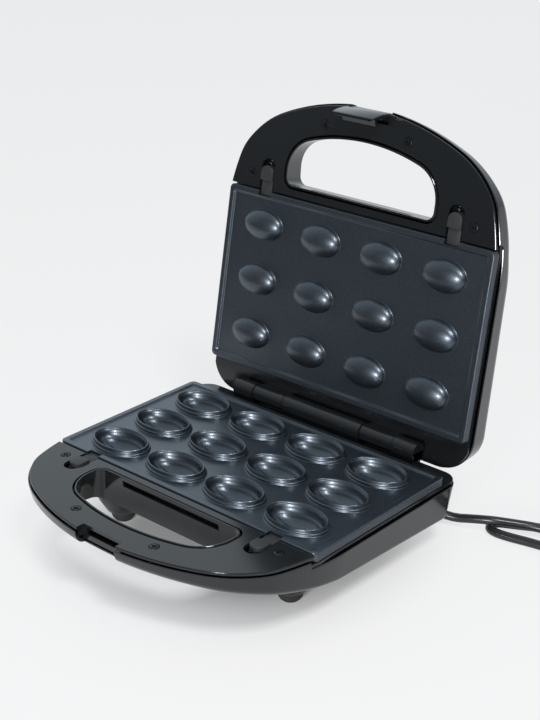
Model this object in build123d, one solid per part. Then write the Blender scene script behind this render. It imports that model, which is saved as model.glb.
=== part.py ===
from build123d import *
import math
import os

os.makedirs("parts", exist_ok=True)

# Millimetres. X runs to the right, Y to the back, Z up. The origin is on the
# table, below the middle of the lower plate. Heights named "rise" or "drop" are
# counted from the lower plate's border. Everything in the lid is built upside
# down, as if it lay in the base, then turned over and swung open about the hinge.

plate_level = 57.0
plate_gap = 2.4
open_angle = 100.9
hinge_y = 80.2
hinge_rise = 0.8

plate_width = 230.0
plate_depth = 130.2
plate_corner = 3.5
plate_border = 4.5
field_drop = 1.3
plate_sheet = 2.2
skirt_drop = 6.5
skirt_wall = 2.2

cup_columns = 4
cup_rows = 3
cup_pitch_x = 53.0
cup_pitch_y = 40.1
cup_centre_y = -0.9
cup_half_x = 22.2
cup_half_y = 14.8
cup_wall = 1.2
cup_rim_rise = 3.2
cup_depth = 12.7
dome_half_x = 17.5
dome_half_y = 11.1
dome_height = 7.6

front_y = -137.0
side_x = 117.0
base_rear_y = 81.2
base_rear_radius = 13.0
lid_rear_y = 88.2
lid_rear_radius = 24.0
shell_overhang = 1.5
shell_top_drop = 3.0
shell_side_drop = 9.0
shell_step_y = -68.3
shell_draft = 9.5
shell_wall = 2.4
base_edge_radius = 4.0
lid_edge_radius = 12.0

deck_drop = 1.0
deck_sheet = 2.0
deck_step_y = -66.3
deck_side_x = 115.4
deck_ledge = 6.0

opening_far_y = -74.0
opening_near_y = -114.2
opening_half_x = 63.2
opening_near_radius = 160.0
opening_near_corner = 24.0
opening_far_corner = 6.0
opening_flare_far = 4.0
opening_flare_side = 12.0
funnel_wall = 2.0
groove = 0.8
vent_half_x = 43.5
vent_height = 4.6

screw_places = [(-96.0, -76.5), (-35.3, -120.6), (35.3, -120.6), (96.0, -76.5)]
screw_head_radius = 3.3
screw_shank_radius = 1.5
screw_length = 9.0
boss_radius = 4.0

latch_x = 81.5
latch_half_width = 6.0
latch_end_y = -84.2
latch_travel = 4.0
latch_clearance = 0.3
latch_floor_drop = 6.5
notch_depth = 3.6

catch_half_x = 17.5
catch_face_y = -130.0
clip_half_x = 16.0
clip_pin_y = -132.6
clip_pin_drop = 7.0
clip_reach = 17.0
clip_pin_radius = 1.25

barrel_radius = 6.0
barrel_half_gap = 0.25
centre_barrel_x = 35.25
lid_barrel_end_x = 63.75
cheek_end_x = 82.5
hinge_pin_radius = 2.25
hinge_running_clearance = 0.05

tray_half_x = 106.0
tray_half_y = 58.0
tray_floor_drop = 21.0
tray_sheet = 0.6
element_radius = 3.25
element_drop = 16.5
element_half_x = 92.0
element_half_y = 47.0
element_gap_x = 18.0

foot_radius = 8.8
foot_height = 9.5
front_leg_y = -44.0
front_leg_radius = 17.5
rear_leg_y = 64.0
rear_leg_radius = 12.0
leg_x = 77.0

base_shell_depth = 34.5
lid_shell_depth = 33.5
clip_face_y = -129.0
foot_stem = 6.0
foot_stem_radius = 4.0
screw_seat_drop = 2.0
screw_head_height = 1.3
deck_web_gap = 0.4
tongue_half_width = 4.0
tongue_top_drop = 1.4
latch_front_y = -67.0
pad_back_y = -73.0
pad_rise = 0.6
spring_radius = 1.5
spring_wire_radius = 0.35
spring_length = 9.5
spring_turns = 3
spring_drop = 3.3
spring_bore = 10.0
element_tail = 15.0
element_bend = 12.0
terminal_length = 6.0
terminal_radius = 1.6
tray_corner = 8.0
tray_flange = 6.0
tray_side_flange = 3.0
tray_screw_radius = 1.3
tray_screw_head = 1.6
tray_screw_bite = 1.6
tray_screws = [(-60.0, -61.2), (60.0, -61.2), (-60.0, 61.2), (60.0, 61.2)]
bracket_sheet = 0.8
bracket_width = 8.0
bracket_x = 55.0
sensor_y = 19.15
sensor_top_drop = 12.0
sensor_radius = 7.0
feeler_radius = 3.5
fuse_x = 45.0
fuse_radius = 2.2
terminal_block_x0 = 24.0
terminal_block_x1 = 56.0
terminal_block_y0 = 65.5
terminal_block_y1 = 73.5
terminal_block_top = 24.0
terminal_block_height = 7.0
lead_ends = (38.0, 46.0)
lead_y = 72.0
lead_radius = 1.0
lamp_y = -38.0
lamp_x = 9.0
lamp_plate_x = 22.0
lamp_drop = 26.0
lens_radius = 3.5
knuckle_radius = 3.0
nose_rise = 7.6
nose_half_x = 14.0
clip_slot_half_x = 15.0
clip_slot_height = 4.8
clip_pin_end = 19.0
hinge_pin_inner = 22.0
hinge_pin_outer = 79.0

cord_radius = 3.1
lay = cord_radius
coil_lay = 4.2
coil_radius = 37.0
coil_pitch = 6.9
coil_climb = 6.9
coil_tail = 30.0
tie_sheet = 1.0
tie_width = 5.0
tie_ease = 0.4
plug_neck = 9.0
plug_length = 18.0
plug_width = 25.0
blade_spacing = 12.7
blade_length = 17.0
gland_x = 68.0
gland_y = 78.0
gland_z = 27.0
gland_inside = 8.0
gland_outside = 18.5
gland_wide = 6.0
gland_narrow = 4.3

# Heights in the frame of the part.
mid_plane = plate_level + plate_gap / 2
hinge_z = plate_level + hinge_rise
lid_hinge_rise = plate_gap - hinge_rise
hinge_axis = Axis((0, hinge_y, hinge_z), (1, 0, 0))


def level(drop):
    """Height of a plane that lies the given drop below the plate's border."""
    return plate_level - drop


def lid_of(shape):
    """Turn a shape over onto the lid's side and swing it open."""
    turned = mirror(shape, about=Plane.XY.offset(mid_plane))
    return turned.rotate(hinge_axis, -open_angle)


def save(shape, node):
    export_step(shape, "parts/" + node + ".step")


def side_profile(points):
    """Face in the YZ plane from (y, drop) corners, in straight lines."""
    corners = [(y, level(drop)) for y, drop in points]
    return Plane.YZ * make_face(Polyline(*corners, close=True))


def across(face, half_width):
    """Extrude a face of the YZ plane to both sides."""
    return extrude(face, amount=half_width, both=True)


def block(x_range, y_range, drops):
    """Box from its limits along X, Y and as drops below the plate's border."""
    x0, x1 = x_range
    y0, y1 = y_range
    top, bottom = drops
    size = Box(x1 - x0, y1 - y0, bottom - top)
    return Pos((x0 + x1) / 2, (y0 + y1) / 2, level((top + bottom) / 2)) * size


def post(x, y, drops, radius):
    top, bottom = drops
    return Pos(x, y, level((top + bottom) / 2)) * Cylinder(radius, bottom - top)


def rod(x_range, y, z, radius):
    """Round bar along X."""
    x0, x1 = x_range
    return Pos((x0 + x1) / 2, y, z) * Rot(0, 90, 0) * Cylinder(radius, x1 - x0)


# Housing halves.

def plan(rear_y, rear_radius):
    """Edge of the deck seen from above: four arcs run from the handle's middle
    to the straight side."""
    front = JernArc((0, front_y), (1, 0), 188, 24)
    shoulder = JernArc(front @ 1, front % 1, 68.6, 29.8)
    corner = JernArc(shoulder @ 1, shoulder % 1, 38, 18.2)
    lean = 90 - 24 - 29.8 - 18.2
    flank_radius = (side_x - (corner @ 1).X) / (1 - math.cos(math.radians(lean)))
    flank = JernArc(corner @ 1, corner % 1, flank_radius, lean)
    side = Line(flank @ 1, (side_x, rear_y - rear_radius))
    rear_corner = JernArc(side @ 1, (0, 1), rear_radius, 90)
    rear = Line(rear_corner @ 1, (0, rear_y))
    half = front + shoulder + corner + flank + side + rear_corner + rear
    return make_face(half + mirror(half, about=Plane.YZ))


def bottom_line(depth):
    """Underside of a housing half, seen from the side, as (y, drop)."""
    return [(-150, 11.5), (-105, 18.7), (-65, 26.6), (-16, 0.97 * depth), (95, 1.05 * depth)]


def above_bottom(depth, inset, top):
    """Everything between the underside and a level plane."""
    low = [(y, level(drop - inset)) for y, drop in bottom_line(depth)]
    rest = Polyline(low[-1], (95, level(top)), (-150, level(top)), low[0])
    return across(Plane.YZ * make_face(Spline(*low) + rest), 130)


def wall_at(drop, inset):
    """How far the drafted wall stands outside the deck's edge at a depth."""
    lean = math.tan(math.radians(shell_draft))
    return shell_overhang - inset - (drop - shell_top_drop) * lean


def hull(rear_y, rear_radius, depth, edge_radius, inset):
    """Outside of a housing half, or the space in it when there is an inset."""
    top = Pos(0, 0, level(shell_top_drop)) * offset(plan(rear_y, rear_radius), shell_overhang - inset)
    solid = extrude(top, amount=60, dir=(0, 0, -1), taper=shell_draft)
    low = 1.04 * depth - inset
    from_front = Polyline(
        (-side_x - wall_at(0, inset), 0), (side_x + wall_at(0, inset), 0),
        (side_x + wall_at(low, inset), -low), (-side_x - wall_at(low, inset), -low), close=True)
    from_side = Polyline(
        (-150, 0), (rear_y + wall_at(0, inset), 0), (rear_y + wall_at(low, inset), -low),
        (-150, -low), close=True)
    front_face = make_face(from_front)
    front_face = fillet(front_face.vertices().sort_by(Axis.Y)[:2], edge_radius - inset / 2)
    side_face = make_face(from_side)
    side_face = fillet(side_face.vertices().sort_by(Axis.X)[-2:].sort_by(Axis.Y)[:1], edge_radius - inset / 2)
    solid &= extrude(Pos(0, 0, plate_level) * (Plane.XZ * front_face), amount=200, both=True)
    solid &= extrude(Pos(0, 0, plate_level) * (Plane.YZ * side_face), amount=200, both=True)
    return solid & above_bottom(depth, inset, 0)


def stepped(top_front, top_side, thickness, step_y):
    """Sheet that drops from the handle's level to the sides' level."""
    low_front = top_front + thickness
    low_side = top_side + thickness
    back = step_y - thickness
    return across(side_profile([
        (-150, top_front), (step_y, top_front), (step_y, top_side), (95, top_side),
        (95, low_side), (back, low_side), (back, low_front), (-150, low_front)]), 130)


def d_outline(flare_far, flare_side, grow, drop):
    """Outline of the handle's opening, straight at the back and arched in front."""
    far = opening_far_y + flare_far
    half = opening_half_x + flare_side
    disc = Pos(0, opening_near_y + opening_near_radius) * Circle(opening_near_radius + flare_side / 6)
    depth = far - opening_near_y + 10
    shape = disc & Pos(0, far - depth / 2) * Rectangle(2 * half, depth)
    shape = fillet(shape.vertices().sort_by(Axis.Y)[:2], opening_near_corner)
    shape = fillet(shape.vertices().sort_by(Axis.Y)[-2:], opening_far_corner)
    if grow:
        shape = offset(shape, grow)
    return (Pos(0, 0, level(drop)) * shape).face()


def funnel(grow):
    """Solid that fills the handle's opening, wider at the bottom."""
    upper = d_outline(0, 0, grow, -1)
    lower = d_outline(opening_flare_far, opening_flare_side, grow, 40)
    return loft([upper, lower], ruled=True)


def ring_spot(places, drops, radius):
    return [post(x, y, drops, radius) for x, y in places]


def housing(rear_y, rear_radius, depth, edge_radius, catch_y, webs, web_face, axis_rise):
    """One moulded half with its handle, screw posts and hinge barrels."""
    outer = hull(rear_y, rear_radius, depth, edge_radius, 0)
    inner = hull(rear_y, rear_radius, depth, edge_radius, shell_wall)
    core = hull(rear_y, rear_radius, depth, edge_radius, shell_wall + deck_ledge / 2)
    open_top = block((-130, 130), (-150, shell_step_y), (-5, shell_top_drop + groove))
    open_top += block((-130, 130), (shell_step_y, 95), (-5, shell_side_drop))
    shell = outer - inner - open_top
    ledge_drops = (deck_drop + deck_sheet, skirt_drop + deck_sheet)
    ledge = stepped(*ledge_drops, deck_ledge / 2, deck_step_y - deck_sheet)
    shell += (inner - core) & ledge
    tube = (funnel(funnel_wall) - funnel(0)) & above_bottom(depth, 0, deck_drop / 2)
    shell = shell + tube - funnel(0)
    posts = ring_spot(screw_places, (deck_drop + deck_sheet, 40), boss_radius)
    for one in posts:
        shell += one & outer
    for one in ring_spot(screw_places, (0, deck_drop + screw_length), screw_shank_radius):
        shell -= one
    vent_top = deck_drop + deck_sheet
    shell -= block((-vent_half_x, vent_half_x), (-80, -66), (vent_top, vent_top + vent_height))
    wide = catch_half_x + shell_wall
    pocket = block((-wide, wide), (-145, catch_y + shell_wall), (deck_drop + deck_sheet, 40)) & outer
    shell += pocket
    shell -= block((-catch_half_x, catch_half_x), (-145, catch_y), (-5, 40))
    for x0, x1 in webs:
        arm = across(side_profile(web_face), (x1 - x0) / 2)
        arm = Pos((x0 + x1) / 2, 0, 0) * arm
        shell += arm + rod((x0, x1), hinge_y, plate_level + axis_rise, barrel_radius)
    return shell


def mirror_pair(x0, x1):
    return [(-x1, -x0), (x0, x1)]


base_webs = mirror_pair(lid_barrel_end_x + barrel_half_gap, cheek_end_x)
base_webs += [(-centre_barrel_x + barrel_half_gap, centre_barrel_x - barrel_half_gap)]
lid_webs = mirror_pair(centre_barrel_x + barrel_half_gap, lid_barrel_end_x - barrel_half_gap)
base_web_face = [(74.6, -hinge_rise), (85.8, -hinge_rise), (81.4, 10), (80.5, 16), (78, 16), (74.6, 10)]
lid_web_face = [(74.6, -lid_hinge_rise), (85.8, -lid_hinge_rise), (86.8, 9), (85.5, 18), (78, 18), (74.6, 10)]

base = housing(
    base_rear_y, base_rear_radius, base_shell_depth, base_edge_radius,
    catch_face_y, base_webs, base_web_face, hinge_rise)
slot_top = deck_drop + deck_sheet
base -= block(
    (-clip_slot_half_x, clip_slot_half_x), (catch_face_y - 1, catch_face_y + shell_wall + 1),
    (slot_top, slot_top + clip_slot_height))
lid = housing(
    lid_rear_y, lid_rear_radius, lid_shell_depth, lid_edge_radius,
    clip_face_y, lid_webs, lid_web_face, lid_hinge_rise)


# Legs and feet.

leg_places = [(-leg_x, front_leg_y, front_leg_radius), (leg_x, front_leg_y, front_leg_radius)]
leg_places += [(-leg_x, rear_leg_y, rear_leg_radius), (leg_x, rear_leg_y, rear_leg_radius)]
inside = hull(base_rear_y, base_rear_radius, base_shell_depth, base_edge_radius, shell_wall)
feet = []
for x, y, radius in leg_places:
    height = level(22) - foot_height
    leg = Pos(x, y, foot_height + height / 2) * Cone(radius, radius + 0.1 * height, height)
    base += leg - inside
    base -= Pos(x, y, foot_height + foot_stem / 2) * Cylinder(foot_stem_radius, foot_stem)
    outline = Polyline(
        (0, foot_height + foot_stem), (foot_stem_radius, foot_height + foot_stem),
        (foot_stem_radius, foot_height), (foot_radius, foot_height), (foot_radius, foot_height - 2.5))
    dome = ThreePointArc((foot_radius, foot_height - 2.5), (0.86 * foot_radius, 2.1), (0.5 * foot_radius, 0))
    close = Polyline((0.5 * foot_radius, 0), (0, 0), (0, foot_height + foot_stem))
    feet.append(Pos(x, y, 0) * revolve(Plane.XZ * make_face(outline + dome + close), Axis.Z))
save(Compound(children=feet), "rubber_feet")


# Decks.

def latch_channel(grow, drops):
    """Space in which a latch slides, rounded at its outer end."""
    centre = latch_end_y - latch_travel - latch_clearance + latch_half_width
    half = latch_half_width + latch_clearance + grow
    result = []
    for x in (-latch_x, latch_x):
        result.append(block((x - half, x + half), (centre, deck_step_y + 0.5), drops))
        result.append(post(x, centre, drops, half))
    return Part() + result


def deck(rear_y, rear_radius, catch_y, webs):
    """Top sheet of a half, on which the plate rests and the latches slide."""
    sheet = Pos(0, 0, level(20)) * extrude(plan(rear_y, rear_radius), amount=25)
    sheet &= stepped(deck_drop, skirt_drop, deck_sheet, deck_step_y)
    for side in (-1, 1):
        x0, x1 = sorted((side * deck_side_x, side * 130))
        sheet -= block((x0, x1), (shell_step_y, 95), (skirt_drop, 20))
    low = skirt_drop + deck_sheet
    sheet += latch_channel(deck_sheet, (deck_drop, low))
    sheet -= latch_channel(0, (0, latch_floor_drop))
    sheet -= block((-tray_half_x, tray_half_x), (-tray_half_y, tray_half_y), (0, 20))
    sheet -= funnel(funnel_wall + groove)
    sheet -= block((-catch_half_x, catch_half_x), (-145, catch_y), (0, 20))
    for x, y in screw_places:
        sheet -= post(x, y, (0, 20), screw_shank_radius)
        sheet -= post(x, y, (0, screw_seat_drop), screw_head_radius + 0.3)
    for x, y in tray_screws:
        sheet -= post(x, y, (low - tray_screw_bite, low), tray_screw_radius)
    for x0, x1 in webs:
        gap = deck_web_gap
        sheet -= block((x0 - gap, x1 + gap), (74.6 - gap, 95), (0, 20))
    return sheet


# Plates.

def bowl(half_x, half_y, height):
    """Half of an egg shape with its round end down, from its rim's half axes."""
    arc = ThreePointArc((1, 0), (0.80, -0.66), (0, -1))
    face = make_face(arc + Polyline((0, -1), (0, 0), (1, 0)))
    return scale(revolve(Plane.XZ * face, Axis.Z), by=(half_x, half_y, height))


def cup_places():
    """Middles of the cups, row by row."""
    places = []
    for row in range(cup_rows):
        for column in range(cup_columns):
            x = (column - (cup_columns - 1) / 2) * cup_pitch_x
            y = cup_centre_y + (row - (cup_rows - 1) / 2) * cup_pitch_y
            places.append((x, y))
    return places


def rounded_slab(inset, drops):
    top, bottom = drops
    corner = max(plate_corner - inset / 2, 0.8)
    sketch = RectangleRounded(plate_width - 2 * inset, plate_depth - 2 * inset, corner)
    return extrude(Pos(0, 0, level(bottom)) * sketch, amount=bottom - top)


def plate_blank():
    """Plate without its cups or domes, with the notches for the latches."""
    under = field_drop + plate_sheet
    blank = rounded_slab(0, (0, skirt_drop)) - rounded_slab(plate_border, (0, field_drop))
    blank -= rounded_slab(skirt_wall, (under, skirt_drop))
    front = -plate_depth / 2
    for x in (-latch_x, latch_x):
        half = tongue_half_width + latch_clearance + 0.3
        blank -= block((x - half, x + half), (front - 1, front + notch_depth), (0, under))
        blank += block((x - half - 1.5, x + half + 1.5), (front, front + notch_depth + 2), (under, skirt_drop))
    return blank


lower_plate = plate_blank()
outer_bowl = bowl(cup_half_x, cup_half_y, cup_depth + cup_wall)
inner_bowl = bowl(cup_half_x - cup_wall, cup_half_y - cup_wall, cup_depth)
places = cup_places()
lower_plate += [Pos(x, y, plate_level + cup_rim_rise) * outer_bowl for x, y in places]
lower_plate -= [Pos(x, y, plate_level + cup_rim_rise) * inner_bowl for x, y in places]
save(lower_plate, "lower_plate")

upper_plate = plate_blank()
outer_dome = mirror(bowl(dome_half_x, dome_half_y, dome_height), about=Plane.XY)
hollow = (dome_half_x - plate_sheet, dome_half_y - plate_sheet, dome_height - plate_sheet)
inner_dome = mirror(bowl(*hollow), about=Plane.XY)
dome_foot = level(field_drop)
upper_plate += [Pos(x, y, dome_foot) * outer_dome for x, y in places]
openings = [Pos(x, y, dome_foot) * inner_dome for x, y in places]
for x, y in places:
    hole = extrude(Pos(x, y, level(field_drop + plate_sheet)) * Ellipse(hollow[0], hollow[1]), amount=plate_sheet)
    openings.append(hole)
upper_plate -= openings
save(lid_of(upper_plate), "upper_plate")


# Heaters, each under its plate.

def element_path():
    z = level(element_drop)
    back = element_half_y + element_tail
    points = [
        (-element_gap_x, back, z), (-element_gap_x, element_half_y, z),
        (-element_half_x, element_half_y, z), (-element_half_x, -element_half_y, z),
        (element_half_x, -element_half_y, z), (element_half_x, element_half_y, z),
        (element_gap_x, element_half_y, z), (element_gap_x, back, z)]
    return FilletPolyline(*points, radius=element_bend)


def tube(path, radius):
    """Round bar along a path."""
    return sweep(Plane(origin=path @ 0, z_dir=path % 0) * Circle(radius), path=path)


def heating_element():
    parts = tube(element_path(), element_radius)
    z = level(element_drop)
    for x in (-element_gap_x, element_gap_x):
        y0 = element_half_y + element_tail
        parts += Pos(x, y0 + terminal_length / 2, z) * Rot(90, 0, 0) * Cylinder(terminal_radius, terminal_length)
    return parts


def reflector():
    """Shallow sheet-metal pan that throws the heat back to the plate."""
    outer = block(
        (-tray_half_x - tray_sheet, tray_half_x + tray_sheet),
        (-tray_half_y - tray_sheet, tray_half_y + tray_sheet),
        (skirt_drop + deck_sheet, tray_floor_drop + tray_sheet))
    outer = fillet(outer.edges().filter_by(Axis.Z), tray_corner)
    inner = block(
        (-tray_half_x, tray_half_x), (-tray_half_y, tray_half_y),
        (skirt_drop + deck_sheet, tray_floor_drop))
    inner = fillet(inner.edges().filter_by(Axis.Z), tray_corner - tray_sheet)
    top = skirt_drop + deck_sheet
    flange = block(
        (-tray_half_x - tray_side_flange, tray_half_x + tray_side_flange),
        (-tray_half_y - tray_flange, tray_half_y + tray_flange), (top, top + tray_sheet))
    pan = flange + outer - inner
    for x, y in tray_screws:
        pan -= post(x, y, (0, 20), tray_screw_radius)
    for x in (-element_gap_x, element_gap_x):
        hole = Rot(90, 0, 0) * Cylinder(element_radius + 0.6, 8)
        pan -= Pos(x, tray_half_y, level(element_drop)) * hole
    return pan


def brackets():
    """Saddles that hold the heater's straight runs over the pan."""
    arch = element_radius + bracket_sheet
    z = element_drop
    face = Circle(arch) - Circle(element_radius)
    drop = tray_floor_drop - z
    for side in (-1, 1):
        middle = side * (element_radius + bracket_sheet / 2)
        face += Pos(middle, -drop / 2) * Rectangle(bracket_sheet, drop)
        face += Pos(side * (arch + 2), bracket_sheet / 2 - drop) * Rectangle(4 + bracket_sheet, bracket_sheet)
    face -= Circle(element_radius)
    strap = extrude(Plane.YZ * face, amount=bracket_width / 2, both=True)
    runs = [(x, y) for y in (-element_half_y, element_half_y) for x in (-bracket_x, bracket_x)]
    return Compound(children=[Pos(x, y, level(z)) * strap for x, y in runs])


def thermostat():
    """Disc on the pan with a feeler against the plate's underside."""
    body = post(0, sensor_y, (sensor_top_drop, tray_floor_drop), sensor_radius)
    return body + post(0, sensor_y, (field_drop + plate_sheet, sensor_top_drop), feeler_radius)


def pan_screws():
    """Screws that hang the pan from the deck's ledge."""
    top = skirt_drop + deck_sheet + tray_sheet
    screws = []
    for x, y in tray_screws:
        head = post(x, y, (top, top + tray_screw_head), 2 * tray_screw_radius)
        screws.append(head + post(x, y, (top - tray_sheet - tray_screw_bite, top), tray_screw_radius))
    return Compound(children=screws)


def deck_screws():
    """Screws let into the deck."""
    screws = []
    for x, y in screw_places:
        head = post(x, y, (screw_seat_drop - screw_head_height, screw_seat_drop), screw_head_radius)
        screws.append(head + post(x, y, (screw_seat_drop, deck_drop + screw_length), screw_shank_radius))
    return Compound(children=screws)


# Latches.

def latch(x):
    """Thumb slide whose tongue holds the plate down by its notch."""
    centre = latch_end_y + latch_half_width
    slab_top = field_drop + plate_sheet
    slab = block((x - latch_half_width, x + latch_half_width), (centre, latch_front_y), (slab_top, latch_floor_drop))
    slab += post(x, centre, (slab_top, latch_floor_drop), latch_half_width)
    reach = -plate_depth / 2 + notch_depth - latch_clearance
    tongue_drops = (tongue_top_drop, slab_top - 0.1)
    slab += block((x - tongue_half_width, x + tongue_half_width), (pad_back_y, reach), tongue_drops)
    slab += block((x - tongue_half_width, x + tongue_half_width), (pad_back_y, latch_front_y), (slab_top - 0.2, slab_top))
    pad_radius = latch_half_width - 0.5
    pad_drops = (-pad_rise, slab_top)
    pad_face = Pos(0, 0) * Circle(pad_radius)
    pad_face += Pos(0, (pad_back_y - centre) / 2) * Rectangle(2 * pad_radius, pad_back_y - centre)
    pad = Pos(x, centre, level(slab_top)) * extrude(pad_face, amount=slab_top + pad_rise)
    slab += pad
    bore = Rot(90, 0, 0) * Cylinder(spring_radius + 0.6, 2 * spring_bore)
    return slab - Pos(x, latch_end_y, level(spring_drop)) * bore


def spring(x):
    """Coil behind a latch, drawn as short as it is with the latch pushed."""
    end_y = latch_end_y - latch_travel - latch_clearance + spring_wire_radius
    coil = Helix(spring_length / spring_turns, spring_length, spring_radius)
    section = Rectangle(2 * spring_wire_radius, 2 * spring_wire_radius)
    wire = sweep(Plane(origin=coil @ 0, z_dir=coil % 0) * section, path=coil, is_frenet=True)
    return Pos(x, end_y, level(spring_drop)) * Rot(-90, 0, 0) * wire


def both_sides(maker):
    return Compound(children=[maker(-latch_x), maker(latch_x)])


# Clip that holds the two halves shut.

def clip():
    lower = ThreePointArc((-136.0, -9.5), (-136.7, 1), (-132.9, clip_reach))
    rest = Polyline(
        (-132.9, clip_reach), (-130.6, clip_reach), (-132.4, nose_rise + 2.6),
        (-127.4, nose_rise + 0.6), (-127.4, nose_rise - 0.6), (-132.6, nose_rise - 1.4),
        (-133.9, -1), (-133.2, -9.5), (-136.0, -9.5))
    face = Pos(0, 0, plate_level) * (Plane.YZ * make_face(lower + rest))
    plate = across(face, clip_half_x)
    nose_cut = block((nose_half_x, 20), (-132.3, -120), (-30, 0)) + block((-20, -nose_half_x), (-132.3, -120), (-30, 0))
    plate -= nose_cut
    plate += rod((-clip_half_x, clip_half_x), clip_pin_y, level(clip_pin_drop), knuckle_radius)
    return plate - rod((-30, 30), clip_pin_y, level(clip_pin_drop), clip_pin_radius + hinge_running_clearance)


clip_pin = rod((-clip_pin_end, clip_pin_end), clip_pin_y, level(clip_pin_drop), clip_pin_radius)
lid -= clip_pin


# Hinge pins and barrel bores.

pins = []
for x0, x1 in mirror_pair(hinge_pin_inner, hinge_pin_outer):
    pins.append(rod((x0, x1), hinge_y, hinge_z, hinge_pin_radius))
    base -= pins[-1]
running = hinge_pin_radius + hinge_running_clearance
lid -= rod((-75, 75), hinge_y, plate_level + lid_hinge_rise, running)
save(Compound(children=pins), "hinge_pins")


# Electrical parts in the base.

block_floor = terminal_block_top + terminal_block_height
seat = block(
    (terminal_block_x0, terminal_block_x1), (terminal_block_y0, terminal_block_y1),
    (block_floor, 45))
outer_base = hull(base_rear_y, base_rear_radius, base_shell_depth, base_edge_radius, shell_wall / 2)
base += seat & outer_base
terminal_block = block(
    (terminal_block_x0, terminal_block_x1), (terminal_block_y0, terminal_block_y1),
    (terminal_block_top, block_floor))
save(terminal_block, "terminal_block")

fuse = rod((fuse_x, fuse_x + 12), sensor_y, level(tray_floor_drop - fuse_radius), fuse_radius)
save(fuse, "lower_thermal_fuse")

leads = []
start_y = element_half_y + element_tail + terminal_length
runs = [(element_gap_x, element_drop, lead_ends[0]), (-element_gap_x, element_drop - 4, lead_ends[1])]
for x, run_drop, end_x in runs:
    points = [(x, start_y, level(element_drop)), (x, lead_y, level(element_drop))]
    if run_drop != element_drop:
        points.append((x, lead_y, level(run_drop)))
    points += [(end_x, lead_y, level(run_drop)), (end_x, lead_y, level(terminal_block_top))]
    leads.append(tube(FilletPolyline(*points, radius=1.8), lead_radius))
save(Compound(children=leads), "heater_leads")


# Lamps in the lid.

lamp_floor = lamp_drop
lamp_seat = block((-lamp_plate_x, lamp_plate_x), (lamp_y - 7, lamp_y + 7), (lamp_floor - 2, lamp_floor))
holder = lamp_seat
for x in (-lamp_x, lamp_x):
    lens = post(x, lamp_y, (lamp_floor + 2, 31.6), lens_radius)
    lid -= post(x, lamp_y, (lamp_floor + 1, 40), lens_radius)
    name = "power_lamp_lens" if x < 0 else "ready_lamp_lens"
    save(lid_of(lens), name)
    holder += post(x, lamp_y, (lamp_floor, lamp_floor + 2), lens_radius - 1)
inside_lid = hull(lid_rear_y, lid_rear_radius, lid_shell_depth, lid_edge_radius, shell_wall / 2)
for x in (-lamp_plate_x + 2, lamp_plate_x - 2):
    lid += post(x, lamp_y, (lamp_floor, 40), 2) & inside_lid
save(lid_of(holder), "lamp_holder")


# Mains lead. The free stretch leaves the back wall, passes behind the right rear
# corner, makes a wide turn on the table, comes back under itself in a tight fold
# and runs off to the wound rest of the lead and its plug.

def unit(vector):
    return Vector(*vector).normalized()


exit_point = Vector(gland_x, gland_y, gland_z)
touch_down = Vector(87.5, 96.5, cord_radius + 0.1)
exit_way = unit(touch_down - exit_point)
cord_start = exit_point - exit_way * gland_inside
route = [
    cord_start, touch_down, (123.2, 105.6, 10.6), (136.6, 116.6, 8.0), (152.9, 126.4, 6.5),
    (188.5, 136.5, lay), (230.0, 131.0, lay), (267.5, 130.2, lay), (288.0, 150.5, lay),
    (288.0, 179.5, lay), (267.5, 200.0, lay), (238.5, 200.0, lay), (216.0, 176.0, lay),
    (190.0, 152.0, lay), (151.8, 132.5, lay), (132.9, 122.4, lay), (123.4, 117.7, lay),
    (122.1, 111.2, lay), (126.3, 106.0, lay), (138.0, 106.1, lay), (158.0, 111.0, lay),
    (196.0, 116.5, lay), (226.0, 118.6, lay), (251.9, 118.5, 3.6), (272.2, 106.7, coil_lay),
    (284.0, 86.4, coil_lay), (284.0, 66.4, coil_lay)]
route = [Vector(*point) for point in route]


def bend_radii(points):
    """Arc radius at each inner point, so that each arc takes nine tenths of the
    shorter run's half."""
    radii = []
    for before, here, after in zip(points, points[1:], points[2:]):
        turn = math.radians((here - before).get_angle(after - here))
        run = min((here - before).length, (after - here).length)
        radii.append(0.45 * run / math.tan(turn / 2))
    return radii


radii = bend_radii(route)
print("cord bend radii", [round(radius, 1) for radius in radii])
lead_path = FilletPolyline(*route, radius=radii)
cord = tube(lead_path, cord_radius)
section = math.pi * cord_radius ** 2
print("cord length", round(lead_path.length, 1), "volume over section and length", cord.volume / section / lead_path.length)
save(cord, "power_cord")

# The wound part starts in line with the free stretch's last run.

heading = unit(route[-1] - route[-2])
left = Vector(-heading.Y, heading.X, 0)


def wound_path():
    """A flat turn, a half turn that climbs on it, and a half turn on top."""
    pieces = [Line(route[-1], route[-1] + heading * 2 * cord_radius)]
    here = pieces[-1] @ 1
    way = heading
    side = Vector(heading.Y, -heading.X, 0)
    for radius in (coil_radius, coil_radius - coil_pitch / 2):
        top = here + side * radius + way * radius
        end = here + side * 2 * radius
        pieces.append(ThreePointArc(here, top, end))
        here, way, side = end, way * -1, side * -1
    radius = coil_radius - coil_pitch
    centre = here + side * radius
    points = []
    for step in range(17):
        share = step / 16
        angle = math.pi * share
        rise = coil_climb * (3 * share ** 2 - 2 * share ** 3)
        points.append(centre - side * radius * math.cos(angle) + way * radius * math.sin(angle) + Vector(0, 0, rise))
    pieces.append(Spline(*points, tangents=[way, way * -1], tangent_scalars=[1, 1]))
    here, way, side = points[-1], way * -1, side * -1
    radius = coil_radius - coil_pitch / 2
    top = here + side * radius + way * radius
    end = here + side * 2 * radius
    pieces.append(ThreePointArc(here, top, end))
    pieces.append(Line(end, end - way * coil_tail))
    return pieces


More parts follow.
